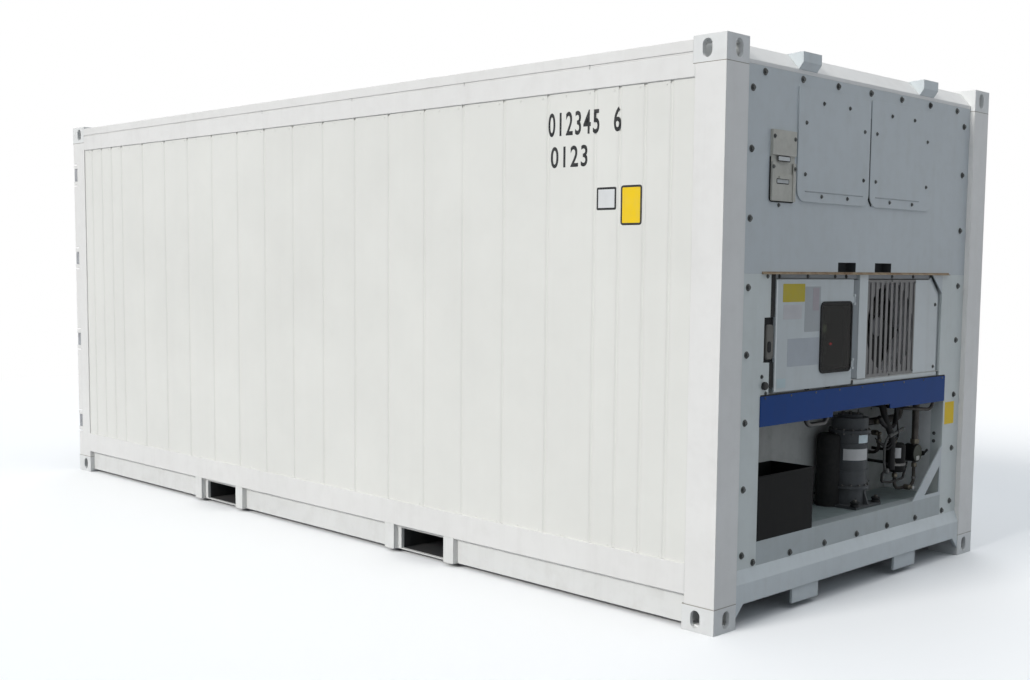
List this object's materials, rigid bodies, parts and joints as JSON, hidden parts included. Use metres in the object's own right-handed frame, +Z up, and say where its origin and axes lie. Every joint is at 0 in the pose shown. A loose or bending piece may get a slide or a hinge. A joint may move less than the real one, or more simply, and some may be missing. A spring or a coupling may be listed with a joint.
{
  "type": "refrigerated shipping container",
  "caption": "Insulated steel shipping container with a built-in cooling unit at one end and two hinged door leaves at the other, on fork pockets and corner castings.",
  "frame": {"origin": "centre of the rectangle on the ground under the four bottom corner castings", "axes": "+X along the container towards the cooling unit, -X towards the doors, -Y is the long side seen in the picture, +Z up"},
  "size_m": [6.058, 2.438, 2.591],
  "materials": {
    "white_paint": "satin",
    "frame_paint": "satin",
    "casting_paint": "satin",
    "unit_paint": "satin",
    "floor_aluminium": "satin",
    "liner_steel": "satin",
    "vent_plastic": "matte",
    "galvanised_steel": "satin",
    "dark_glass": "gloss",
    "black_plastic": "matte",
    "grey_paint": "satin",
    "compressor_paint": "satin",
    "coil_aluminium": "matte",
    "blue_paint": "satin",
    "black_steel": "satin",
    "copper_pipe": "satin",
    "seal_rubber": "matte"
  },
  "bodies": {
    "frame": {"corner_castings_top": "casting_paint", "corner_castings_bottom": "casting_paint", "front_corner_posts": "frame_paint", "rear_corner_posts": "frame_paint", "top_side_rails": "frame_paint", "bottom_side_rails": "frame_paint", "bottom_rail_webs": "frame_paint", "fork_pockets": "frame_paint", "cross_members": "frame_paint", "side_walls": "white_paint", "roof_panel": "white_paint", "floor_panel": "white_paint", "t_bar_floor": "floor_aluminium", "front_bottom_rail": "frame_paint", "front_top_rail": "frame_paint", "lashing_lugs": "frame_paint", "unit_upper_panel": "unit_paint", "unit_stiles": "unit_paint", "unit_lower_strip": "unit_paint", "bay_back": "unit_paint", "bay_sides": "unit_paint", "bay_floor_and_ceiling": "unit_paint", "air_liner": "liner_steel", "bay_corner_plates": "unit_paint", "access_panels": "unit_paint", "vent_housing": "vent_plastic", "control_box": "unit_paint", "control_box_rests": "galvanised_steel", "controller_panel": "black_plastic", "bay_column": "unit_paint", "bay_shelf": "galvanised_steel", "fan_shroud": "grey_paint", "fan_motor": "compressor_paint", "fan_grille": "grey_paint", "condenser_coil": "coil_aluminium", "condenser_side_panel": "unit_paint", "cover_band": "blue_paint", "cable_tray": "black_steel", "compressor": "compressor_paint", "receiver_and_drier": "black_steel", "refrigerant_pipes": "copper_pipe", "cable_conduit": "black_plastic", "door_header": "frame_paint", "door_sill": "frame_paint"},
    "door_left": {"door_leaf_left": "white_paint", "door_seal_left": "seal_rubber", "door_hardware_left": "galvanised_steel"},
    "door_right": {"door_leaf_right": "white_paint", "door_seal_right": "seal_rubber", "door_hardware_right": "galvanised_steel"},
    "fan": {"fan_rotor": "black_plastic"},
    "control_door": {"control_door": "unit_paint", "control_window": "dark_glass"},
    "vent_slide": {"vent_slide": "vent_plastic"}
  },
  "joints": [
    {"name": "left_door_hinge", "type": "hinge", "parent": "frame", "child": "door_left", "pos_m": [-3.015, 1.205, 1.3], "axis": [0, 0, -1], "range_deg": [0, 260]},
    {"name": "right_door_hinge", "type": "hinge", "parent": "frame", "child": "door_right", "pos_m": [-3.015, -1.205, 1.3], "axis": [0, 0, 1], "range_deg": [0, 260]},
    {"name": "condenser_fan_spin", "type": "hinge", "parent": "frame", "child": "fan", "pos_m": [2.88, 0.288, 1.31], "axis": [1, 0, 0], "continuous": true},
    {"name": "control_door_hinge", "type": "hinge", "parent": "frame", "child": "control_door", "pos_m": [2.994, -0.084, 1.298], "axis": [0, 0, 1], "range_deg": [0, 110]},
    {"name": "vent_shutter_slide", "type": "slide", "parent": "frame", "child": "vent_slide", "axis": [0, 0, 1], "range_m": [0, 0.05]}
  ]
}
